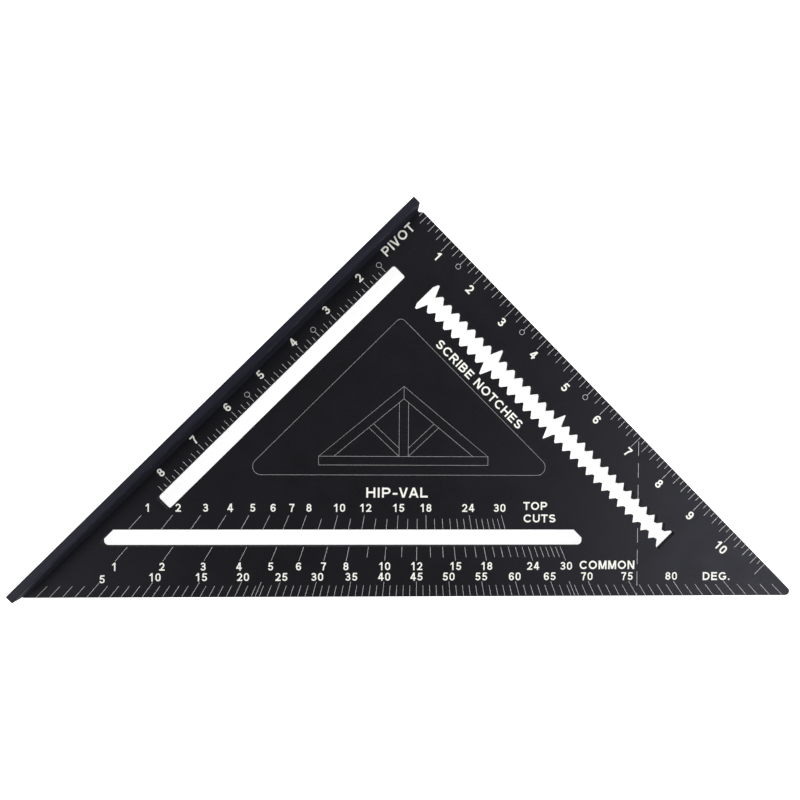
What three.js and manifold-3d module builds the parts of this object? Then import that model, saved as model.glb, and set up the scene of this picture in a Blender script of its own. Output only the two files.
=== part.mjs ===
// Speed square (rafter square), 12 inch. Millimetres, +Z up out of the marked face.
// The blade is drawn from the pivot corner, where the fence's inner face meets the ruler edge:
// x runs along the fence, y runs along the ruler edge, and the hypotenuse closes the triangle.
import * as THREE from 'three';
import { mergeVertices } from 'three/addons/utils/BufferGeometryUtils.js';
import Module from 'manifold-3d';

// ---- driving dimensions -------------------------------------------------------------------
const INCH = 25.4;
const LEG = 12 * INCH; // both legs of the triangle, from the pivot corner
const BLADE_T = 4.0; // plate thickness
const TIP_R = 2.4; // rounding of the sharp tip at the ruler's far end

const FENCE_H = 23.8; // full width of the rail, half above and half below the plate
const FENCE_T = 5.0; // thickness of the rail
const TONGUE = 1.8; // how far the blade's root reaches into the rail
const GAP = 0.3; // clearance round the tongue

const PIVOT_NOTCH_W = 3.3; // relief at the pivot corner, along the ruler edge
const PIVOT_NOTCH_D = 1.6; // and its depth

const SLOT_W = 9.2; // width of the two straight slots
const FENCE_SLOT_NEAR = 12.4; // fence's inner face to the slot beside it
const FENCE_SLOT_FROM = 1.25 * INCH; // ruler edge to that slot's two ends
const FENCE_SLOT_TO = 8.46 * INCH;
const FENCE_SLOT_R = 1.5;

const RAFTER_SLOT_A = 7.015 * INCH; // pivot corner to the near side of the slot along the hypotenuse
const RAFTER_SLOT_FROM = -6.805 * INCH; // its ends, along the hypotenuse from the pivot corner's foot
const RAFTER_SLOT_TO = 3.69 * INCH;
const RAFTER_SLOT_R = 2.4; // its corners nearest the hypotenuse
const RAFTER_END_Y = 0.31 * INCH; // the chamfer at its fence end lies this far from the fence
const RAFTER_END_X = 2.5 * INCH; // the chamfer at its other end lies this far from the ruler edge

const SCRIBE_X = 30.9; // ruler edge to the centreline of the notched slot
const SCRIBE_PITCH = INCH / 4;
const SCRIBE_FIRST = 6; // first and last notch, counted in quarter inches from the fence
const SCRIBE_LAST = 36;
const SCRIBE_DEEP = [6, 14, 22]; // deeper notches: the widths of common boards
const SCRIBE_TOOTH = 3.05; // half widths at the teeth, the notches and the deep notches
const SCRIBE_NOTCH = 6.4;
const SCRIBE_DEEP_NOTCH = 9.4;
const SCRIBE_NOTCH_R = 1.1; // rounding at a notch's tip, for a pencil point
const SCRIBE_DEEP_R = 0.7;
const SCRIBE_END_NEAR = 1.8; // from the first notch to the slot's end wall
const SCRIBE_END_FAR = 1.9; // and from the last

// ---- derived places -----------------------------------------------------------------------
const R2 = Math.SQRT2;
const BLADE_Z = (FENCE_H - BLADE_T) / 2; // underside of the plate
const TIP_CENTRE_Y = LEG - TIP_R * (1 + R2); // centre of the tip's rounding
const REACH_Y = TIP_CENTRE_Y + TIP_R; // furthest point of the blade from the fence
const CENTRE = new THREE.Vector3(-LEG / 2, -(REACH_Y - FENCE_T) / 2, 0); // puts the origin at the bottom centre

const wasm = await Module();
wasm.setup();

// ---- helpers ------------------------------------------------------------------------------
// A closed solid for cutting, made from any three.js geometry.
function solid(geometry) {
  const g = geometry.index ? geometry.clone() : geometry;
  g.deleteAttribute('normal');
  g.deleteAttribute('uv');
  const merged = mergeVertices(g, 1e-5);
  return new wasm.Manifold(
    new wasm.Mesh({
      numProp: 3,
      vertProperties: new Float32Array(merged.attributes.position.array),
      triVerts: new Uint32Array(merged.index.array),
    }),
  );
}

// The cut solid back as a three.js geometry with flat faces.
function geometryOf(manifold) {
  const { vertProperties, triVerts } = manifold.getMesh();
  const g = new THREE.BufferGeometry();
  g.setAttribute('position', new THREE.BufferAttribute(new Float32Array(vertProperties), 3));
  g.setIndex(new THREE.BufferAttribute(new Uint32Array(triVerts), 1));
  const flat = g.toNonIndexed();
  flat.computeVertexNormals();
  return flat;
}

// An outline extruded from z0 to z1.
function plate(outline, z0, z1) {
  const g = new THREE.ExtrudeGeometry(outline, { depth: z1 - z0, bevelEnabled: false, curveSegments: 6 });
  g.translate(0, 0, z0);
  return solid(g);
}

// A closed outline through corners [x, y, r], each rounded by its own radius r.
function roundedOutline(corners) {
  const shape = new THREE.Shape();
  const n = corners.length;
  corners.forEach(([x, y, r = 0], i) => {
    const here = new THREE.Vector2(x, y);
    const before = new THREE.Vector2(...corners[(i + n - 1) % n]).sub(here).normalize();
    const after = new THREE.Vector2(...corners[(i + 1) % n]).sub(here).normalize();
    const half = Math.acos(before.dot(after)) / 2;
    const start = here.clone().addScaledVector(before, r / Math.tan(half));
    if (i === 0) shape.moveTo(start.x, start.y);
    else shape.lineTo(start.x, start.y);
    if (r > 0) {
      const middle = before.clone().add(after).normalize();
      const centre = here.clone().addScaledVector(middle, r / Math.sin(half));
      const end = here.clone().addScaledVector(after, r / Math.tan(half));
      const a0 = Math.atan2(start.y - centre.y, start.x - centre.x);
      const a1 = Math.atan2(end.y - centre.y, end.x - centre.x);
      shape.absarc(centre.x, centre.y, r, a0, a1, before.cross(after) > 0);
    }
  });
  shape.closePath();
  return shape;
}

// A place given by its distance a from the pivot corner across the hypotenuse, and b along it.
const across = (a, b) => [(a - b) / R2, (a + b) / R2];

// ---- blade --------------------------------------------------------------------------------
function bladeOutline() {
  return roundedOutline([
    [0, -TONGUE],
    [LEG, -TONGUE],
    [LEG, 0],
    [0, LEG, TIP_R],
    [0, PIVOT_NOTCH_W],
    [PIVOT_NOTCH_D, PIVOT_NOTCH_W - PIVOT_NOTCH_D],
    [PIVOT_NOTCH_D, 0],
    [0, 0],
  ]);
}

function fenceSlotOutline() {
  const y0 = FENCE_SLOT_NEAR;
  const y1 = FENCE_SLOT_NEAR + SLOT_W;
  return roundedOutline([
    [FENCE_SLOT_FROM, y0, FENCE_SLOT_R],
    [FENCE_SLOT_TO, y0, FENCE_SLOT_R],
    [FENCE_SLOT_TO, y1, FENCE_SLOT_R],
    [FENCE_SLOT_FROM, y1, FENCE_SLOT_R],
  ]);
}

function rafterSlotOutline() {
  const near = RAFTER_SLOT_A;
  const far = RAFTER_SLOT_A + SLOT_W;
  return roundedOutline([
    across(near, RAFTER_END_Y * R2 - near),
    across(RAFTER_END_Y * R2 - RAFTER_SLOT_FROM, RAFTER_SLOT_FROM),
    [...across(far, RAFTER_SLOT_FROM), RAFTER_SLOT_R],
    [...across(far, RAFTER_SLOT_TO), RAFTER_SLOT_R],
    across(RAFTER_END_X * R2 + RAFTER_SLOT_TO, RAFTER_SLOT_TO),
    across(near, near - RAFTER_END_X * R2),
  ]);
}

// The notched slot is the same on both sides of its centreline, so it is drawn as half widths
// along y: round-tipped notches, a quarter of an inch apart, with a tooth between each two.
function scribeProfile() {
  const half = SCRIBE_PITCH / 2;
  const profile = [];
  for (let n = SCRIBE_FIRST; n <= SCRIBE_LAST; n += 1) {
    const deep = SCRIBE_DEEP.includes(n);
    const width = deep ? SCRIBE_DEEP_NOTCH : SCRIBE_NOTCH;
    const r = deep ? SCRIBE_DEEP_R : SCRIBE_NOTCH_R;
    const y = n * SCRIBE_PITCH;

    // The flanks run from the teeth and touch the tip's arc.
    const depth = width - r - SCRIBE_TOOTH;
    const flank = Math.atan2(half, depth) - Math.asin(r / Math.hypot(half, depth));
    const sweep = Math.PI / 2 - flank;
    if (n === SCRIBE_FIRST) {
      profile.push([y - SCRIBE_END_NEAR, SCRIBE_TOOTH + (half - SCRIBE_END_NEAR) / Math.tan(flank)]);
    }
    for (let i = -2; i <= 2; i += 1) {
      if (n < SCRIBE_LAST || i <= 0) {
        const angle = (sweep * i) / 2;
        profile.push([y + r * Math.sin(angle), width - r + r * Math.cos(angle)]);
      }
    }
    if (n < SCRIBE_LAST) profile.push([y + half, SCRIBE_TOOTH]);
    else profile.push([y + SCRIBE_END_FAR, width]);
  }
  return profile;
}

function scribeSlotOutline() {
  const profile = scribeProfile();
  const right = profile.map(([y, w]) => new THREE.Vector2(SCRIBE_X + w, y));
  const left = profile.map(([y, w]) => new THREE.Vector2(SCRIBE_X - w, y)).reverse();
  return new THREE.Shape([...right, ...left]);
}

function buildBlade() {
  const z0 = BLADE_Z;
  const z1 = BLADE_Z + BLADE_T;
  let body = plate(bladeOutline(), z0, z1);
  for (const slot of [fenceSlotOutline(), rafterSlotOutline(), scribeSlotOutline()]) {
    body = body.subtract(plate(slot, z0 - 1, z1 + 1));
  }
  return body;
}

// ---- fence --------------------------------------------------------------------------------
function buildFence() {
  const rail = new THREE.BoxGeometry(LEG, FENCE_T, FENCE_H);
  rail.translate(LEG / 2, -FENCE_T / 2, FENCE_H / 2);

  const groove = new THREE.BoxGeometry(LEG + 2, TONGUE + GAP + 1, BLADE_T + 2 * GAP);
  groove.translate(LEG / 2, -(TONGUE + GAP) + (TONGUE + GAP + 1) / 2, FENCE_H / 2);
  return solid(rail).subtract(solid(groove));
}

// ---- assembly -----------------------------------------------------------------------------
function piece(name, manifold, color, roughness) {
  const material = new THREE.MeshStandardMaterial({ color, roughness, metalness: 0.6 });
  const mesh = new THREE.Mesh(geometryOf(manifold), material);
  mesh.name = name;
  return mesh;
}

const square = new THREE.Group();
square.name = 'speed_square';
square.add(piece('blade', buildBlade(), 0x1e2024, 0.5));
square.add(piece('fence', buildFence(), 0x2a2c3c, 0.42));
square.position.copy(CENTRE);

export default square;
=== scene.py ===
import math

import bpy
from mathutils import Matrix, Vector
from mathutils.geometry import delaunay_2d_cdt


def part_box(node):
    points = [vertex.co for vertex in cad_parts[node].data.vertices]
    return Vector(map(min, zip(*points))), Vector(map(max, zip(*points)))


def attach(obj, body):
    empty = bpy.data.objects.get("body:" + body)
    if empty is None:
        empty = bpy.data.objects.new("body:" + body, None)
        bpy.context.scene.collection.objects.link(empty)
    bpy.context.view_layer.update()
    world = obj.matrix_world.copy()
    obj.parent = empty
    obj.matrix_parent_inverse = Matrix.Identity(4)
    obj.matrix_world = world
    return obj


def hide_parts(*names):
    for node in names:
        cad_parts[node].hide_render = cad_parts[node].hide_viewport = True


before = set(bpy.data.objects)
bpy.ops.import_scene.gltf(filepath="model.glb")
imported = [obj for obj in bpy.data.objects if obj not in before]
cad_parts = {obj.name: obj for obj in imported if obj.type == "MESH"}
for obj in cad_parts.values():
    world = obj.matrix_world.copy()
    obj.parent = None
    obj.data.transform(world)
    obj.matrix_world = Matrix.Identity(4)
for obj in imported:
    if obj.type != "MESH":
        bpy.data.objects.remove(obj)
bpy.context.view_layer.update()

# Looks of a 12 inch speed square: a black anodised plate with printed scales, and its T-shaped fence.
# Metres, in the CAD's frame: x runs along the fence, y along the ruler edge, z out of the marked face.
# Places on the plate are given in inches from the pivot corner, as (v, u): v along the fence and u along the
# ruler edge. A place beside the hypotenuse is also given as a, inches from the pivot corner across the
# hypotenuse, and b, inches along it from its middle.

INCH = 0.0254
R2 = math.sqrt(2)

# ---- sizes of the object --------------------------------------------------------------------
# In inches, apart from EDGE, FENCE_EDGE, FENCE_END, FENCE_FILLET and FILLET_SUNK, which are in metres.
LEG = 12.0  # both legs
TIP_R = 2.4e-3 / INCH
TONGUE = 1.8e-3 / INCH  # the plate's root inside the fence
PIVOT_NOTCH_W = 3.3e-3 / INCH  # along the ruler edge
PIVOT_NOTCH_D = 1.6e-3 / INCH  # along the fence
PIVOT_NOTCH_R = 0.01  # rounding of the notch's corner on the ruler edge
PIVOT_NOTCH_INNER_R = 0.012  # and of its inner corner
EDGE = 0.1e-3  # the plate's eased edges

SLOT_W = 9.2e-3 / INCH
FENCE_SLOT = (1.25, 8.46, 12.4e-3 / INCH)  # from, to, and distance from the fence
FENCE_SLOT_R = 1.5e-3 / INCH
RAFTER_SLOT = (-6.805, 3.69, 7.015)  # from, to along the hypotenuse, and distance from the pivot corner
RAFTER_SLOT_R = 2.4e-3 / INCH  # its corners towards the hypotenuse
RAFTER_BEND_R = 0.03  # and its four blunt ones
RAFTER_END_U = 0.31  # the end by the fence is cut along this u
RAFTER_END_V = 2.5  # and the other end along this v

SCRIBE_V = 30.9e-3 / INCH  # the scribing slot's middle line
SCRIBE_PITCH = 0.25
SCRIBE_FIRST, SCRIBE_LAST = 6, 36  # its first and last notch, counted in pitches from the fence
SCRIBE_DEEP = (6, 14, 22)
SCRIBE_TOOTH = 3.05e-3 / INCH  # half width between two notches
SCRIBE_NOTCH = (6.4e-3 / INCH, 1.1e-3 / INCH)  # half width and tip radius
SCRIBE_DEEP_NOTCH = (9.4e-3 / INCH, 0.7e-3 / INCH)
SCRIBE_END_NEAR = 1.8e-3 / INCH  # how far the slot's ends are past its first and last notch
SCRIBE_END_FAR = 1.9e-3 / INCH

FENCE_EDGE = 0.7e-3  # rounding of the fence's long edges
FENCE_END = 0.5e-3  # and of the edges of its ends
FENCE_FILLET = 1.3e-3  # the fillet where the fence meets the plate
FILLET_SUNK = 0.05e-3  # how far the fillet's strip reaches into both

# ---- sizes of the marks, in inches ----------------------------------------------------------
INK = 0.03e-3  # how far the printed marks stand proud of the plate, in metres
LIFT = 0.002e-3  # a character's later strokes stand this much higher, so that no two faces coincide
LINE = 0.0068  # width of a scale line
BASE_LINE = 0.0058  # and of one along the hypotenuse
FINE = 0.007  # width of the rings' and the panel's lines
START = 0.012  # scale lines begin this far from an edge
BASE_A = LEG / R2  # distance from the pivot corner to the hypotenuse
ALONG_RULER = (0, 1)  # the reading direction of marks beside the ruler edge, as (v, u)
ALONG_FENCE = (-1, 0)  # beside the fence
ALONG_BASE = (-1 / R2, 1 / R2)  # along the hypotenuse

# ---- how finely curves are drawn ------------------------------------------------------------
CORNER_STEPS = 8  # in a rounded corner
TIP_STEPS = 6  # on each side of a notch's tip
EDGE_STEPS = 4  # round an eased edge of the plate or of the fence's ends
FENCE_EDGE_STEPS = 6
FILLET_STEPS = 8
RING_STEPS = 28
GLYPH_ARC = 12  # degrees of a step in a character's arc
GLYPH_STEPS = 6  # and the fewest steps in one
MITRE_LIMIT = 0.15  # keeps a line's mitre short where it turns sharply
SHARP_ANGLE = 28  # degrees between faces that aren't shaded as one
FLAT = 0.999  # a face is square to an axis where its normal's largest part is over this
INSIDE_WITH_HOLES = 2  # delaunay_2d_cdt's output type for the inside of an outline without its holes
CDT_EPSILON = 1e-7
SAME_PLACE = 1e-6  # a stroke whose ends are closer than this is closed

# ---- places from the CAD frame --------------------------------------------------------------
fence_lo, fence_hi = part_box("fence")
blade_lo, blade_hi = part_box("blade")
PIVOT = Vector((fence_lo.x, fence_hi.y, blade_hi.z))


def spot(v, u, z=0.0):
    """A place on the marked face, from inches along the fence and along the ruler edge."""
    return PIVOT + Vector((v * INCH, u * INCH, z))


def across(a, b):
    """(v, u) of a place a inches from the pivot corner across the hypotenuse, and b inches along it."""
    return (a - b) / R2, (a + b) / R2


def on_ray(degrees, a):
    """(v, u) where the ray at that angle from the fence is a inches across."""
    return across(a, a * math.tan(math.radians(degrees - 45)))


# ---- outlines -------------------------------------------------------------------------------
def arc(centre, r, start, end, steps):
    """Points of a circle's arc, from one angle to another."""
    angles = [start + (end - start) * i / steps for i in range(steps + 1)]
    return [(centre[0] + r * math.cos(angle), centre[1] + r * math.sin(angle)) for angle in angles]


def rounded(corners):
    """The closed outline through corners (v, u) left sharp and corners (v, u, r) rounded by their radius."""
    points = []
    n = len(corners)
    for i, corner in enumerate(corners):
        here = Vector(corner[:2])
        if len(corner) == 2:
            points.append(tuple(here))
            continue
        r = corner[2]
        before = (Vector(corners[i - 1][:2]) - here).normalized()
        after = (Vector(corners[(i + 1) % n][:2]) - here).normalized()
        half = before.angle(after) / 2
        centre = here + (before + after).normalized() * (r / math.sin(half))
        start = here + before * (r / math.tan(half)) - centre
        end = here + after * (r / math.tan(half)) - centre
        a0 = math.atan2(start.y, start.x)
        turn = math.remainder(math.atan2(end.y, end.x) - a0, 2 * math.pi)
        points += arc(centre, r, a0, a0 + turn, CORNER_STEPS)
    return points


def blade_outline():
    """The triangle. Its root is hidden in the rail, and stops short of the rail's rounded ends."""
    rail_end = LEG - FENCE_END / INCH
    return rounded([
        (PIVOT_NOTCH_D, -TONGUE),
        (rail_end, -TONGUE),
        (rail_end, LEG - rail_end),
        (0, LEG, TIP_R),
        (0, PIVOT_NOTCH_W, PIVOT_NOTCH_R),
        (PIVOT_NOTCH_D, PIVOT_NOTCH_W - PIVOT_NOTCH_D, PIVOT_NOTCH_INNER_R),
    ])


def fence_slot_outline():
    start, end, near = FENCE_SLOT
    far = near + SLOT_W
    corners = (start, near), (end, near), (end, far), (start, far)
    return rounded([(*corner, FENCE_SLOT_R) for corner in corners])


def rafter_slot_outline():
    start, end, near = RAFTER_SLOT
    far = near + SLOT_W
    return rounded([
        (*across(near, RAFTER_END_U * R2 - near), RAFTER_BEND_R),
        (*across(RAFTER_END_U * R2 - start, start), RAFTER_BEND_R),
        (*across(far, start), RAFTER_SLOT_R),
        (*across(far, end), RAFTER_SLOT_R),
        (*across(RAFTER_END_V * R2 + end, end), RAFTER_BEND_R),
        (*across(near, near - RAFTER_END_V * R2), RAFTER_BEND_R),
    ])


def scribe_slot_outline():
    """A row of round-tipped notches, the same on both sides: half widths w at places u, mirrored."""
    half = SCRIBE_PITCH / 2
    profile = []
    for n in range(SCRIBE_FIRST, SCRIBE_LAST + 1):
        width, r = SCRIBE_DEEP_NOTCH if n in SCRIBE_DEEP else SCRIBE_NOTCH
        u = n * SCRIBE_PITCH
        depth = width - r - SCRIBE_TOOTH
        flank = math.atan2(half, depth) - math.asin(r / math.hypot(half, depth))
        sweep = math.pi / 2 - flank
        if n == SCRIBE_FIRST:
            profile.append((u - SCRIBE_END_NEAR, SCRIBE_TOOTH + (half - SCRIBE_END_NEAR) / math.tan(flank)))
        for i in range(-TIP_STEPS, TIP_STEPS + 1):
            if n < SCRIBE_LAST or i <= 0:
                angle = sweep * i / TIP_STEPS
                profile.append((u + r * math.sin(angle), width - r + r * math.cos(angle)))
        profile.append((u + half, SCRIBE_TOOTH) if n < SCRIBE_LAST else (u + SCRIBE_END_FAR, width))
    left = [(SCRIBE_V + w, u) for u, w in profile]
    right = [(SCRIBE_V - w, u) for u, w in reversed(profile)]
    return left + right


# ---- meshes ---------------------------------------------------------------------------------
def add(name, mesh, material):
    """A finished piece of the square."""
    piece = bpy.data.objects.new(name, mesh)
    mesh.name = name
    bpy.context.scene.collection.objects.link(piece)
    mesh.materials.clear()
    mesh.materials.append(material)
    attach(piece, "root")
    return piece


def slanted(face):
    return max(abs(c) for c in face.normal) < FLAT


def finish_faces(piece, edge, wall, is_wall):
    """Give the narrow slanted faces along a piece's edges a second material, and its dull walls a third."""
    piece.data.materials.append(edge)
    piece.data.materials.append(wall)
    for face in piece.data.polygons:
        if is_wall(face.normal):
            face.material_index = 2
        elif slanted(face):
            face.material_index = 1


def finished_mesh(points, faces):
    """A mesh with smooth roundings between its flat faces."""
    mesh = bpy.data.meshes.new("mesh")
    mesh.from_pydata(points, [], faces)
    mesh.shade_smooth()
    mesh.set_sharp_from_angle(angle=math.radians(SHARP_ANGLE))
    for face in mesh.polygons:
        face.use_smooth = slanted(face)
    return mesh


def quarter_turn():
    """The angles at which an eased edge is drawn."""
    return [math.pi / 2 * i / EDGE_STEPS for i in range(EDGE_STEPS + 1)]


def signed_area(outline):
    """Its area, which is positive where the outline runs anticlockwise."""
    return sum(p[0] * q[1] - q[0] * p[1] for p, q in zip(outline, outline[1:] + outline[:1])) / 2


def ring_faces(lower, upper, n):
    """Faces between two rings of n points, given the number of each ring's first point."""
    return [(lower + i, lower + (i + 1) % n, upper + (i + 1) % n, upper + i) for i in range(n)]


def drawn_in(outline, inset):
    """The outline moved to its left by inset, mitred at its corners."""
    p = [Vector(q) for q in outline]
    moved = []
    for i, here in enumerate(p):
        before, after = here - p[i - 1], p[(i + 1) % len(p)] - here
        middle = (before.normalized() + after.normalized()) / 2
        moved.append(here + middle.orthogonal() * inset / middle.length_squared)
    return moved


def plate(rim, holes, z0, z1, edge):
    """A plate from z0 to z1 with holes and eased edges."""
    levels = [(edge * (1 - math.sin(turn)), z0 + edge * (1 - math.cos(turn))) for turn in quarter_turn()]
    levels += [(inset, z0 + z1 - z) for inset, z in reversed(levels)]
    points, faces = [], []
    lowest, highest = [], []  # the numbers of the points round the lower and the upper flat face
    flat, sides = [], []  # the same outlines in two dimensions, and their sides
    for outline in (rim, *holes):
        anticlockwise = signed_area(outline) > 0
        if anticlockwise != (outline is rim):  # the metal lies to the left: inside the rim, outside a hole
            outline = outline[::-1]
        n, first = len(outline), len(points)
        for inset, z in levels:
            points += [spot(q.x, q.y, z - PIVOT.z) for q in drawn_in(outline, inset / INCH)]
        for start in range(first, len(points) - n, n):
            faces += ring_faces(start, start + n, n)
        sides += [(len(flat) + i, len(flat) + (i + 1) % n) for i in range(n)]
        flat += drawn_in(outline, edge / INCH)
        lowest += range(first, first + n)
        highest += range(len(points) - n, len(points))
    inside_rim = list(range(len(rim)))
    filled = delaunay_2d_cdt(flat, sides, [inside_rim], INSIDE_WITH_HOLES, CDT_EPSILON)
    triangles, origins = filled[2:4]
    for triangle in triangles:
        corners = [origins[i][0] for i in triangle]
        faces += [tuple(highest[i] for i in corners), tuple(lowest[i] for i in reversed(corners))]
    return finished_mesh(points, faces)


def loft(sections, xs):
    """Closed sections of (y, z) points joined in turn, one at each x."""
    n = len(sections[0])
    points = [(x, y, z) for x, section in zip(xs, sections) for y, z in section]
    faces = []
    for start in range(0, len(points) - n, n):
        faces += ring_faces(start, start + n, n)
    faces += [tuple(reversed(range(n))), tuple(range(len(points) - n, len(points)))]
    return finished_mesh(points, faces)


# ---- marks ----------------------------------------------------------------------------------
# Plain block characters as strokes, on capitals one unit high: the width, then each stroke as
# points (x, y) and elliptical arcs (x, y, rx, ry, from, to) in degrees.
WEIGHT = 0.18  # width of a stroke
SLIM = 0.155  # and on the scales along the hypotenuse
SPACING = 0.16  # gap between characters
STEM = [(0.1, 0), (0.1, 1)]
GLYPHS = {
    "0": (0.66, [(0.33, 0.64, 0.23, 0.26, 0, 180), (0.33, 0.36, 0.23, 0.26, 180, 360), (0.56, 0.64)]),
    "1": (0.6, [(0.38, 0), (0.38, 1)], [(0.12, 0.67), (0.34, 0.94)]),
    "2": (0.66, [(0.33, 0.66, 0.23, 0.24, 175, -30), (0.16, 0.1)], [(0.02, 0.1), (0.66, 0.1)]),
    "3": (
        0.66,
        [(0.32, 0.71, 0.21, 0.19, 165, -90), (0.22, 0.52)],
        [(0.22, 0.52), (0.33, 0.31, 0.23, 0.21, 90, -168)],
    ),
    "4": (0.7, [(0.48, 0), (0.48, 1)], [(0.44, 0.98), (0.1, 0.3)], [(0.02, 0.3), (0.7, 0.3)]),
    "5": (
        0.66,
        [(0.14, 0.9), (0.62, 0.9)],
        [(0.19, 0.9), (0.14, 0.47)],
        [(0.32, 0.335, 0.24, 0.235, 140, -165)],
    ),
    "6": (0.66, [(0.34, 0.325, 0.22, 0.225, 0, 360)], [(0.36, 0.6, 0.26, 0.3, 28, 180), (0.1, 0.34)]),
    "7": (0.64, [(0.02, 0.9), (0.62, 0.9)], [(0.56, 0.86), (0.36, 0.5), (0.27, 0)]),
    "8": (0.66, [(0.33, 0.71, 0.2, 0.19, 0, 360)], [(0.33, 0.31, 0.23, 0.21, 0, 360)]),
    "9": (0.66, [(0.32, 0.675, 0.22, 0.225, 0, 360)], [(0.3, 0.4, 0.26, 0.3, 208, 360), (0.56, 0.66)]),
    "A": (0.74, [(0.04, 0), (0.36, 1)], [(0.7, 0), (0.38, 1)], [(0.14, 0.31), (0.6, 0.31)]),
    "B": (
        0.76,
        STEM,
        [(0.1, 0.9), (0.42, 0.71, 0.2, 0.19, 90, -90), (0.1, 0.52)],
        [(0.1, 0.52), (0.44, 0.31, 0.22, 0.21, 90, -90), (0.1, 0.1)],
    ),
    "C": (0.88, [(0.48, 0.5, 0.38, 0.4, 38, 322)]),
    "D": (0.82, STEM, [(0.1, 0.9), (0.36, 0.5, 0.36, 0.4, 90, -90), (0.1, 0.1)]),
    "E": (0.7, STEM, [(0.1, 0.9), (0.68, 0.9)], [(0.1, 0.52), (0.64, 0.52)], [(0.1, 0.1), (0.7, 0.1)]),
    "G": (0.92, [(0.48, 0.5, 0.38, 0.4, 42, 318), (0.81, 0.43), (0.5, 0.43)]),
    "H": (0.8, STEM, [(0.7, 0), (0.7, 1)], [(0.1, 0.52), (0.7, 0.52)]),
    "I": (0.2, STEM),
    "L": (0.66, STEM, [(0.1, 0.1), (0.66, 0.1)]),
    "M": (0.94, STEM, [(0.84, 0), (0.84, 1)], [(0.15, 0.99), (0.46, 0.03)], [(0.79, 0.99), (0.48, 0.03)]),
    "N": (0.8, STEM, [(0.7, 0), (0.7, 1)], [(0.14, 0.97), (0.66, 0.03)]),
    "O": (0.96, [(0.48, 0.5, 0.38, 0.4, 0, 360)]),
    "P": (0.76, STEM, [(0.1, 0.9), (0.44, 0.67, 0.22, 0.23, 90, -90), (0.1, 0.44)]),
    "R": (
        0.8,
        STEM,
        [(0.1, 0.9), (0.45, 0.69, 0.22, 0.21, 90, -90), (0.1, 0.48)],
        [(0.42, 0.48), (0.72, 0)],
    ),
    "S": (0.76, [(0.38, 0.705, 0.27, 0.195, 25, 240), (0.38, 0.305, 0.28, 0.205, 58, -160)]),
    "T": (0.68, [(-0.03, 0.9), (0.71, 0.9)], [(0.34, 0), (0.34, 0.9)]),
    "U": (0.8, [(0.1, 1), (0.4, 0.4, 0.3, 0.3, 180, 360), (0.7, 1)]),
    "V": (0.68, [(0.04, 1), (0.33, 0)], [(0.64, 1), (0.35, 0)]),
    "-": (0.4, [(0, 0.38), (0.4, 0.38)]),
    ".": (0.2, [(0.1, 0), (0.1, 0.2)]),
    " ": (0.26,),
}


def centreline(stroke, stretch):
    """A stroke's points, with its arcs worked out, and stretched across."""
    points = []
    for item in stroke:
        if len(item) == 2:
            points.append((item[0] * stretch, item[1]))
            continue
        x, y, rx, ry, start, end = item
        steps = max(GLYPH_STEPS, round(abs(end - start) / GLYPH_ARC))
        for i in range(steps + 1):
            angle = math.radians(start + (end - start) * i / steps)
            points.append(((x + rx * math.cos(angle)) * stretch, y + ry * math.sin(angle)))
    return points


class Marks:
    """Printed marks on the plate: thin solids a little above its face, gathered into one piece."""

    def __init__(self, name):
        self.name, self.points, self.faces = name, [], []

    def ribbon(self, points, width, place=Vector, closed=False, lift=0):
        """A line of that width through points, mitred where it turns, and then moved by place.

        Only a character's strokes have a place. The ends of a straight one are cut level or upright.
        """
        p = [Vector(q) for q in points]
        n, half = len(p), width / 2
        level = place is not Vector and n == 2
        first = len(self.points)
        for i in range(n):
            before = p[i] - p[i - 1] if closed or i else p[1] - p[0]
            after = p[(i + 1) % n] - p[i] if closed or i < n - 1 else before
            middle = (before.normalized() + after.normalized()) / 2
            if level and abs(middle.y) > abs(middle.x):
                side = Vector((-half / middle.y, 0))
            elif level:
                side = Vector((0, half / middle.x))
            else:
                side = middle.orthogonal() * half / max(middle.length_squared, MITRE_LIMIT)
            for edge in (p[i] + side, p[i] - side):
                at = place(edge)
                self.points += [spot(at.x, at.y, -INK), spot(at.x, at.y, INK + lift * LIFT)]
        # each point of the line has four: left low, left high, right low, right high
        for i in range(n if closed else n - 1):
            a, b = first + 4 * i, first + 4 * ((i + 1) % n)
            self.faces += [
                (a + 3, b + 3, b + 1, a + 1),
                (a, b, b + 2, a + 2),
                (a + 2, b + 2, b + 3, a + 3),
                (a + 1, b + 1, b, a),
            ]
        if not closed:
            end = first + 4 * (n - 1)
            self.faces += [(first, first + 2, first + 3, first + 1), (end + 1, end + 3, end + 2, end)]

    def line(self, start, end, width):
        self.ribbon([start, end], width)

    def ring(self, centre, r, width):
        """A circle drawn as a line of that width."""
        self.ribbon(arc(centre, r, 0, 2 * math.pi, RING_STEPS)[:-1], width, closed=True)

    def text(self, words, centre, right, height, width=None, weight=WEIGHT):
        """Words centred at a place and reading along right, with capitals of that height."""
        natural = sum(GLYPHS[c][0] + SPACING for c in words) - SPACING
        stretch = 1 if width is None else width / height / natural
        right = Vector(right)
        up = right.orthogonal()
        corner = Vector(centre) - (right * (natural * stretch) + up) * (height / 2)
        x = 0

        def place(q):
            return corner + (right * (q.x + x) + up * q.y) * height

        for c in words:
            for lift, stroke in enumerate(GLYPHS[c][1:]):
                points = centreline(stroke, stretch)
                closed = math.dist(points[0], points[-1]) < SAME_PLACE
                if closed:
                    points.pop()
                self.ribbon(points, weight, place, closed, lift)
            x += (GLYPHS[c][0] + SPACING) * stretch

    def finish(self, material):
        """Make the piece."""
        mesh = bpy.data.meshes.new(self.name)
        mesh.from_pydata(self.points, [], self.faces)
        return add(self.name, mesh, material)


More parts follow.
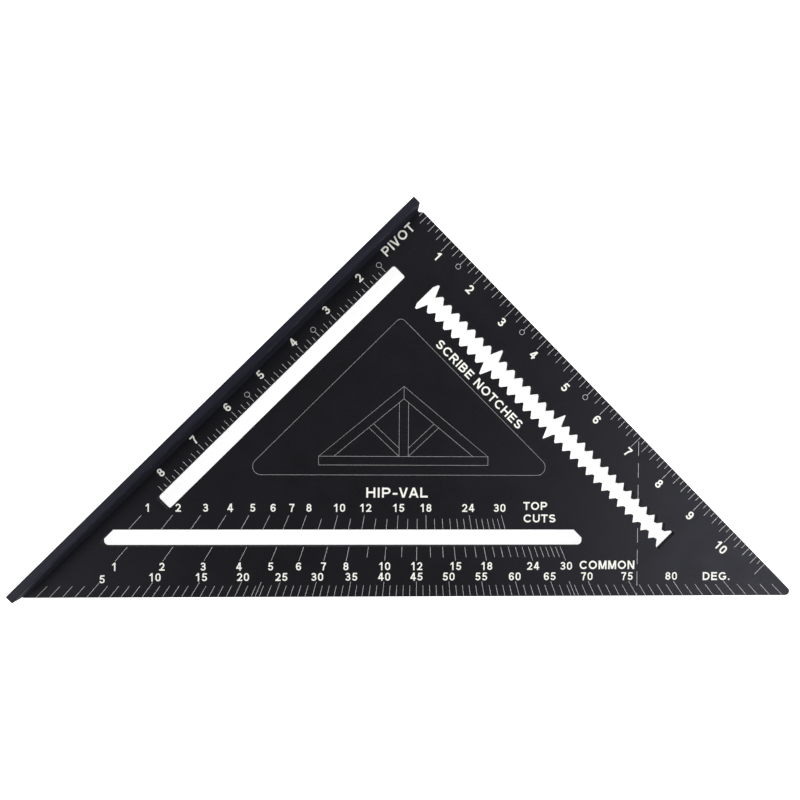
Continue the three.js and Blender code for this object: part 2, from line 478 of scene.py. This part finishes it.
# ---- materials ------------------------------------------------------------------------------
class Nodes:
    """A few short names for building a material's nodes."""

    def __init__(self, name):
        self.material = bpy.data.materials.new(name)
        self.material.use_nodes = True
        self.tree = self.material.node_tree
        self.shader = self.tree.nodes["Principled BSDF"]

    def new(self, kind, **values):
        node = self.tree.nodes.new(kind)
        for key, value in values.items():
            setattr(node, key, value)
        return node

    def link(self, output, socket):
        self.tree.links.new(output, socket)

    def feed(self, name, output):
        """Link an output to one of the shader's own sockets."""
        self.link(output, self.shader.inputs[name])

    def noise(self, scale, stretch=(1, 1, 1), detail=4.0, rough=0.6):
        """Noise in the piece's own frame: scale is in bumps a metre."""
        place = self.new("ShaderNodeTexCoord")
        mapping = self.new("ShaderNodeMapping")
        mapping.inputs["Scale"].default_value = stretch
        noise = self.new("ShaderNodeTexNoise")
        noise.inputs["Scale"].default_value = scale
        noise.inputs["Detail"].default_value = detail
        noise.inputs["Roughness"].default_value = rough
        self.link(place.outputs["Object"], mapping.inputs["Vector"])
        self.link(mapping.outputs["Vector"], noise.inputs["Vector"])
        return noise.outputs["Fac"]

    def ramp(self, value, low, high, a, b):
        """The value's range from low to high turned into one from a to b."""
        node = self.new("ShaderNodeMapRange")
        for key, number in zip(("From Min", "From Max", "To Min", "To Max"), (low, high, a, b)):
            node.inputs[key].default_value = number
        self.link(value, node.inputs["Value"])
        return node.outputs["Result"]

    def mix(self, share, a, b):
        """Two colours, or outputs, mixed: b's share is given."""
        node = self.new("ShaderNodeMix", data_type="RGBA")
        for socket, colour in ((node.inputs[6], a), (node.inputs[7], b)):
            if isinstance(colour, tuple):
                socket.default_value = (*colour, 1)
            else:
                self.link(colour, socket)
        self.link(share, node.inputs[0])
        return node.outputs[2]

    def bump(self, height, distance, strength, before=None):
        """A normal bumped by a height, on top of the one before."""
        node = self.new("ShaderNodeBump")
        node.inputs["Distance"].default_value = distance
        node.inputs["Strength"].default_value = strength
        self.link(height, node.inputs["Height"])
        if before is not None:
            self.link(before, node.inputs["Normal"])
        return node.outputs["Normal"]


def anodised_plate():
    """Fine matte black anodising over a blasted surface: a close grey speckle under cloudy patches of painted
    lavender sheen.
    """
    m = Nodes("plate_black_anodised")
    # The lavender tint below is a painted sheen, mixed into the base colour in cloudy patches.
    black, grey, painted_sheen = (0.0022, 0.0023, 0.0024), (0.0098, 0.0098, 0.0104), (0.0064, 0.0060, 0.0076)
    speckle = m.ramp(m.noise(1300, detail=6, rough=0.7), 0.38, 0.66, 0, 1)
    painted_sheen_patches = m.ramp(m.noise(14, detail=3), 0.35, 0.65, 0, 0.4)
    m.feed("Base Color", m.mix(painted_sheen_patches, m.mix(speckle, black, grey), painted_sheen))
    m.feed("Roughness", m.ramp(m.noise(60, detail=5), 0.3, 0.7, 0.40, 0.50))
    m.shader.inputs["Specular IOR Level"].default_value = 0.27
    m.shader.inputs["Specular Tint"].default_value = (0.79, 0.8, 1, 1)
    grain = m.bump(m.noise(5200, detail=2), 0.00002, 0.35)
    m.feed("Normal", m.bump(m.noise(900, detail=3), 0.00004, 0.15, grain))
    return m.material


def anodised_fence():
    """Satin blue-black anodising, brushed along the rail."""
    m = Nodes("fence_black_anodised")
    dark, pale = (0.0062, 0.0064, 0.0118), (0.0125, 0.0128, 0.0210)
    brushed = m.noise(1400, stretch=(0.03, 1, 1), detail=5, rough=0.7)
    streak = m.ramp(brushed, 0.3, 0.7, 0, 1)
    m.feed("Base Color", m.mix(streak, dark, pale))
    m.feed("Roughness", m.ramp(brushed, 0.3, 0.7, 0.36, 0.5))
    m.shader.inputs["Specular IOR Level"].default_value = 0.34
    m.shader.inputs["Specular Tint"].default_value = (0.82, 0.8, 1, 1)
    m.feed("Normal", m.bump(brushed, 0.00003, 0.4))
    return m.material


def dull_wall(name, dark, pale, specular):
    """The same anodising where it is duller: on the walls of the slots and the rim, and inside the fence."""
    m = Nodes(name)
    m.feed("Base Color", m.mix(m.noise(700, detail=5), dark, pale))
    m.feed("Roughness", m.ramp(m.noise(300), 0.3, 0.7, 0.68, 0.84))
    m.shader.inputs["Specular IOR Level"].default_value = specular
    m.feed("Normal", m.bump(m.noise(1600, stretch=(1, 1, 0.1), detail=3), 0.00003, 0.4))
    return m.material


def rubbed_edge(name, dark, pale, specular):
    """An anodised edge that handling has rubbed: dark, with thin paler patches."""
    m = Nodes(name)
    patch = m.ramp(m.noise(160, detail=8, rough=0.75), 0.52, 0.72, 0, 1)
    m.feed("Base Color", m.mix(patch, dark, pale))
    m.feed("Roughness", m.ramp(patch, 0, 1, 0.5, 0.34))
    m.shader.inputs["Specular IOR Level"].default_value = specular
    m.feed("Normal", m.bump(m.noise(2400, detail=4), 0.00003, 0.4))
    return m.material


def ink(name, light, dark, coverage):
    """Printed white, a little thin and grey where the surface grain shows through."""
    m = Nodes(name)
    thin = m.ramp(m.noise(1800, detail=4), 0.3, 0.3 + coverage, 0, 1)
    m.feed("Base Color", m.mix(thin, dark, light))
    m.feed("Roughness", m.ramp(m.noise(700), 0.3, 0.7, 0.5, 0.66))
    m.shader.inputs["Specular IOR Level"].default_value = 0.3
    m.feed("Normal", m.bump(m.noise(4200, detail=2), 0.00002, 0.3))
    return m.material


PLATE = anodised_plate()
PLATE_EDGE = rubbed_edge("plate_edge", (0.007, 0.007, 0.008), (0.08, 0.08, 0.09), 0.3)
PLATE_WALL = dull_wall("plate_wall", (0.006, 0.006, 0.007), (0.018, 0.018, 0.021), 0.08)
FENCE = anodised_fence()
FENCE_EDGES = rubbed_edge("fence_edge", (0.007, 0.008, 0.013), (0.035, 0.036, 0.044), 0.16)
FENCE_INNER = dull_wall("fence_inner", (0.008, 0.008, 0.014), (0.016, 0.016, 0.026), 0.07)
WHITE = ink("white_ink", (0.95, 0.94, 0.88), (0.84, 0.83, 0.77), 0.25)
LINES = ink("line_ink", (0.86, 0.86, 0.84), (0.62, 0.62, 0.62), 0.35)
FAINT = ink("faint_line_ink", (0.50, 0.50, 0.50), (0.30, 0.30, 0.30), 0.4)

# ---- the plate and the fence ----------------------------------------------------------------
UPRIGHT = 0.05  # a wall's normal rises or falls by less than this

holes = [fence_slot_outline(), rafter_slot_outline(), scribe_slot_outline()]
blade_mesh = plate(blade_outline(), holes, blade_lo.z, blade_hi.z, EDGE)
blade = add("plate", blade_mesh, PLATE)
finish_faces(blade, PLATE_EDGE, PLATE_WALL, lambda normal: abs(normal.z) < UPRIGHT)
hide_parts("blade")


def fence_section(inset):
    """The rail's section: a slim bar with rounded long edges, drawn in by inset."""
    r = FENCE_EDGE
    y0, y1, z0, z1 = fence_lo.y + r, fence_hi.y - r, fence_lo.z + r, fence_hi.z - r
    quarter = math.pi / 2
    points = []
    for turn, centre in enumerate(((y1, z1), (y0, z1), (y0, z0), (y1, z0))):
        points += arc(centre, r - inset, turn * quarter, (turn + 1) * quarter, FENCE_EDGE_STEPS)
    return points


def fillet_section(side):
    """The small fillet between the rail and one face of the plate, sunk a hair into both."""
    y, r = fence_hi.y, FENCE_FILLET
    z = blade_hi.z if side > 0 else blade_lo.z
    curve = arc((y + r, z + side * r), r, math.pi, math.pi + side * math.pi / 2, FILLET_STEPS)
    sunk_y, sunk_z = y - FILLET_SUNK, z - side * FILLET_SUNK
    points = [*curve, (y + r, sunk_z), (sunk_y, sunk_z), (sunk_y, z + side * r)]
    return points if side < 0 else points[::-1]


insets = [FENCE_END * (1 - math.cos(turn)) for turn in quarter_turn()]
depths = [FENCE_END * (1 - math.sin(turn)) for turn in quarter_turn()]  # from the end's face
rail = loft(
    [fence_section(inset) for inset in insets[::-1] + insets],
    [fence_lo.x + depth for depth in depths[::-1]] + [fence_hi.x - depth for depth in depths],
)
fence = add("fence_rail", rail, FENCE)
finish_faces(fence, FENCE_EDGES, FENCE_INNER, lambda normal: normal.y > FLAT)
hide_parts("fence")
fillet_from = fence_lo.x + PIVOT_NOTCH_D * INCH + EDGE
for label, side in (("upper", 1), ("lower", -1)):
    section = fillet_section(side)
    strip = loft([section, section], [fillet_from, fence_hi.x - FENCE_FILLET])
    add(f"fence_fillet_{label}", strip, FENCE_INNER)

# ---- ruler scale ----------------------------------------------------------------------------
RULER_TICKS = (0.32, 0.225, 0.125)  # how far the lines at inches, quarters and eighths reach from the edge
RULER_EIGHTHS = range(1, 89)
RULER_INCHES = range(1, 11)
RULER_FIGURES_V = 0.445
RULER_FIGURES_PAST = 0.03  # how far a figure stands past its line
RULER_RINGS_V = 0.283
BOARD_MARKS = (1.5, 3.5, 5.5)  # small rings at the widths of common boards
RING_R = 0.055


def tick_length(n, lengths):
    """Which of the three lengths the line at n eighths of an inch has."""
    inch, quarter, eighth = lengths
    return inch if n % 8 == 0 else quarter if n % 2 == 0 else eighth


marks = Marks("ruler_ticks")
for n in RULER_EIGHTHS:
    marks.line((START, n / 8), (tick_length(n, RULER_TICKS), n / 8), LINE)
for u in BOARD_MARKS:
    marks.ring((RULER_RINGS_V, u), RING_R, FINE)
marks.finish(LINES)

marks = Marks("ruler_figures")
for n in RULER_INCHES:
    marks.text(str(n), (RULER_FIGURES_V, n + RULER_FIGURES_PAST), ALONG_RULER, height=0.2)
marks.finish(WHITE)

# ---- fence scale ----------------------------------------------------------------------------
FENCE_TICKS = (0.175, 0.145, 0.095)  # lengths of the lines at inches, quarters and eighths
FENCE_EIGHTHS = range(12, 67)
FENCE_INCHES = range(2, 9)
FENCE_FIGURES_U = 0.165
FENCE_RINGS_U = 0.272

marks = Marks("fence_ticks")
line_u = FENCE_SLOT[2] - START
for n in FENCE_EIGHTHS:
    marks.line((n / 8, line_u), (n / 8, line_u - tick_length(n, FENCE_TICKS)), LINE)
for v in BOARD_MARKS:
    marks.ring((v, FENCE_RINGS_U), RING_R, FINE)
marks.finish(LINES)

marks = Marks("fence_figures")
for n in FENCE_INCHES:
    marks.text(str(n), (n, FENCE_FIGURES_U), ALONG_FENCE, height=0.19)
marks.finish(WHITE)

# ---- degree scale ---------------------------------------------------------------------------
HALF_MARKS = (22.5, 67.5)  # the only halves of a degree with a line
DEGREE_TALL, DEGREE_SHORT = 0.33, 0.25  # how far the lines reach from the edge
DEGREE_FIGURES = range(5, 85, 5)
DEGREE_FIGURES_A = 8.045
DEGREE_FIRST_A = 8.085  # the first figure is a little nearer the edge
DEGREE_RAYS_A = 8.09  # a figure is centred on its ray here
BASE_HEIGHT = 0.18  # of the figures along the hypotenuse

marks = Marks("degree_ticks")
for degrees in sorted([*range(1, 90), *HALF_MARKS]):
    reach = DEGREE_TALL if degrees % 5 == 0 or degrees in HALF_MARKS else DEGREE_SHORT
    marks.line(on_ray(degrees, BASE_A - START), on_ray(degrees, BASE_A - reach), BASE_LINE)
marks.finish(LINES)

marks = Marks("degree_figures")
for degrees in DEGREE_FIGURES:
    a = DEGREE_FIRST_A if degrees == DEGREE_FIGURES[0] else DEGREE_FIGURES_A
    b = DEGREE_RAYS_A * math.tan(math.radians(degrees - 45))
    marks.text(str(degrees), across(a, b), ALONG_BASE, BASE_HEIGHT, weight=SLIM)
marks.text("DEG.", across(8.05, 6.68), ALONG_BASE, height=0.18, width=0.61)
marks.finish(WHITE)

# ---- rafter scales --------------------------------------------------------------------------
RISES = range(1, 31)  # inches
NAMED = (1, 2, 3, 4, 5, 6, 7, 8, 10, 12, 15, 18, 24, 30)  # the rises with a longer line and a figure
COMMON_RUN = 12  # inches of run for a common rafter
HIP_RUN = 12 * R2  # and for a hip or valley rafter


def rafter_scale(name, run, line_from, named_to, other_to, figures_a, rays_a):
    """Lines from the slot, and figures beyond the named ones, each centred where its ray is rays_a across."""
    ticks, figures = Marks(f"{name}_ticks"), Marks(f"{name}_figures")
    for rise in RISES:
        degrees = math.degrees(math.atan2(rise, run))
        line_to = named_to if rise in NAMED else other_to
        ticks.line(on_ray(degrees, line_from), on_ray(degrees, line_to), BASE_LINE)
        if rise in NAMED:
            b = rays_a * math.tan(math.radians(degrees - 45))
            figures.text(str(rise), across(figures_a, b), ALONG_BASE, BASE_HEIGHT, weight=SLIM)
    ticks.finish(LINES)
    return figures


slot_near = RAFTER_SLOT[2]
slot_far = slot_near + SLOT_W
figures = rafter_scale(
    "common", COMMON_RUN, slot_far + START, named_to=7.695, other_to=7.62, figures_a=7.815, rays_a=7.72
)
figures.text("COMMON", across(7.795, 4.22), ALONG_BASE, height=0.19, width=1.23)
figures.finish(WHITE)
figures = rafter_scale(
    "hip_valley", HIP_RUN, slot_near - START, named_to=6.70, other_to=6.775, figures_a=6.535, rays_a=6.55
)
figures.text("HIP-VAL", across(6.2, -0.44), ALONG_BASE, height=0.22, width=1.35)
figures.text("TOP", across(6.49, 2.61), ALONG_BASE, height=0.18, width=0.525)
figures.text("CUTS", across(6.765, 2.705), ALONG_BASE, height=0.18, width=0.715)
figures.finish(WHITE)

# ---- words and lines ------------------------------------------------------------------------
marks = Marks("working_words")
marks.text("PIVOT", (0.815, 0.165), ALONG_FENCE, height=0.21, width=0.87)
marks.text("SCRIBE NOTCHES", (1.75, 3.66), ALONG_RULER, height=0.2, width=2.6)
marks.finish(WHITE)

DASHED_B = 4.895  # a dashed line square to the hypotenuse
DASH, DASH_GAP = 0.32, 0.16
DASH_FROM = 8.74  # past the hypotenuse, so that the first dash is cut short by it

marks = Marks("dashed_line")
a = DASH_FROM
while a > DASHED_B:  # it ends on the ruler edge, where a and b are equal
    middle_v = across(a - DASH / 2, DASHED_B)[0]
    if abs(middle_v - SCRIBE_V) > SCRIBE_TOOTH:  # not over the scribing slot
        low, high = max(a - DASH, DASHED_B + START), min(a, BASE_A - START)
        marks.line(across(low, DASHED_B), across(high, DASHED_B), LINE)
    a -= DASH + DASH_GAP
marks.finish(LINES)

PANEL_V, PANEL_U = 1.94, 1.405  # the panel's two square sides
PANEL_SUM = 8.225  # v + u on its long side
PANEL_SQUARE_R, PANEL_R = 0.13, 0.18  # rounding of its square corner and of the two others
panel = [
    (PANEL_V, PANEL_U, PANEL_SQUARE_R),
    (PANEL_SUM - PANEL_U, PANEL_U, PANEL_R),
    (PANEL_V, PANEL_SUM - PANEL_V, PANEL_R),
]

marks = Marks("panel_outline")
marks.ribbon(rounded(panel), FINE, closed=True)
marks.finish(FAINT)

# A generic drawing of a roof truss: each timber is one outline.
TRUSS_A, TRUSS_B = 5.6, -0.3  # the middle of its underside
TRUSS_HALF, TRUSS_RISE = 1.85, 1.72  # half its span, and its height
CHORD, RAFTER, WEB = 0.19, 0.27, 0.18  # upright depths of the bottom chord, the rafters and the webs
POST = 0.1  # the post's half width
WEB_SLOPE = 0.95


def truss_timbers():
    """Outlines (x, y) of the timbers, x to the right and y up."""
    slope = (TRUSS_RISE - CHORD) / TRUSS_HALF
    inner = TRUSS_RISE - RAFTER
    rafter = [(0, TRUSS_RISE), (0, inner), ((inner - CHORD) / slope, CHORD), (TRUSS_HALF, CHORD)]
    reach = [(inner - CHORD - up + WEB_SLOPE * POST) / (slope + WEB_SLOPE) for up in (0, WEB)]
    web = [(POST, CHORD), *((x, inner - slope * x) for x in reach), (POST, CHORD + WEB)]
    shoulder = inner - slope * POST
    post = [(-POST, CHORD), (POST, CHORD), (POST, shoulder), (0, inner), (-POST, shoulder)]
    timbers = [[(-TRUSS_HALF, 0), (TRUSS_HALF, 0), (TRUSS_HALF, CHORD), (-TRUSS_HALF, CHORD)], post]
    for timber in (rafter, web):
        timbers += [timber, [(-x, y) for x, y in timber]]
    return timbers


marks = Marks("panel_drawing")
for lift, timber in enumerate(truss_timbers()):
    marks.ribbon([across(TRUSS_A - y, TRUSS_B + x) for x, y in timber], FINE, closed=True, lift=lift)
marks.finish(FAINT)

# ---- stage ----------------------------------------------------------------------------------
WALLS, CEILING = 0.95, 0.14  # how bright the room is low down, and overhead
WALL_TOP, CEILING_FROM = 0.15, 0.7  # heights, on a sphere of radius 1, between which it fades
FLOOR = 3  # half the floor's width


def soft_light(name, at, size, power):
    """A rectangular lamp that points at the middle of the square."""
    light = bpy.data.lights.new(name, "AREA")
    light.shape = "RECTANGLE"
    light.size, light.size_y = size
    light.energy = power
    lamp = bpy.data.objects.new(name, light)
    lamp.location = at
    lamp.rotation_euler = (-Vector(at)).to_track_quat("-Z", "Y").to_euler()
    bpy.context.scene.collection.objects.link(lamp)


floor_mesh = bpy.data.meshes.new("floor")
corners = [(-FLOOR, -FLOOR, 0), (FLOOR, -FLOOR, 0), (FLOOR, FLOOR, 0), (-FLOOR, FLOOR, 0)]
floor_mesh.from_pydata(corners, [], [(0, 1, 2, 3)])
floor = bpy.data.objects.new("floor", floor_mesh)
bpy.context.scene.collection.objects.link(floor)
paper = Nodes("pale_floor")
paper.shader.inputs["Base Color"].default_value = (0.9, 0.9, 0.9, 1)
paper.shader.inputs["Roughness"].default_value = 0.9
paper.shader.inputs["Specular IOR Level"].default_value = 0.1
paper.shader.inputs["Emission Color"].default_value = (1, 1, 1, 1)
paper.shader.inputs["Emission Strength"].default_value = 0.9  # a light table, so that shadows stay faint
floor_mesh.materials.append(paper.material)

world = bpy.data.worlds.new("soft_room")  # pale walls under a dim ceiling
world.use_nodes = True
room = world.node_tree
direction = room.nodes.new("ShaderNodeTexCoord")
height = room.nodes.new("ShaderNodeSeparateXYZ")
fade = room.nodes.new("ShaderNodeMapRange")
fade.interpolation_type = "SMOOTHSTEP"
fade.inputs["From Min"].default_value = WALL_TOP
fade.inputs["From Max"].default_value = CEILING_FROM
fade.inputs["To Min"].default_value = WALLS
fade.inputs["To Max"].default_value = CEILING
room.links.new(direction.outputs["Generated"], height.inputs["Vector"])
room.links.new(height.outputs["Z"], fade.inputs["Value"])
room.links.new(fade.outputs["Result"], room.nodes["Background"].inputs["Strength"])
room.nodes["Background"].inputs["Color"].default_value = (1, 1, 1, 1)
bpy.context.scene.world = world
soft_light("beyond_ruler_tip", (-0.6, 0.95, 1.05), (1.2, 0.9), 14)
soft_light("beyond_fence_end", (1.2, -0.7, 1.0), (1.0, 0.9), 8.5)
soft_light("beyond_pivot", (-1.1, -0.8, 1.0), (1.0, 0.9), 11)
bpy.context.scene.view_settings.view_transform = "Standard"

# ---- camera ---------------------------------------------------------------------------------
CAMERA_AT = Vector((-0.06592, -0.09297, 0.37349))
CAMERA_AIM = Vector((-0.0704, -0.08016, 0.0139))
CAMERA_UP = Vector((-0.70234, -0.71164, -0.01659))  # the pivot corner is at the top of the view
CAMERA_LENS = 29.25

back = (CAMERA_AT - CAMERA_AIM).normalized()
right = CAMERA_UP.cross(back).normalized()
up = back.cross(right)
camera_data = bpy.data.cameras.new("camera")
camera_data.sensor_width = 36
camera_data.lens = CAMERA_LENS
camera_data.clip_start = 0.01
camera = bpy.data.objects.new("camera", camera_data)
camera.matrix_world = Matrix((right, up, back)).transposed().to_4x4()
camera.location = CAMERA_AT
bpy.context.scene.collection.objects.link(camera)
bpy.context.scene.camera = camera
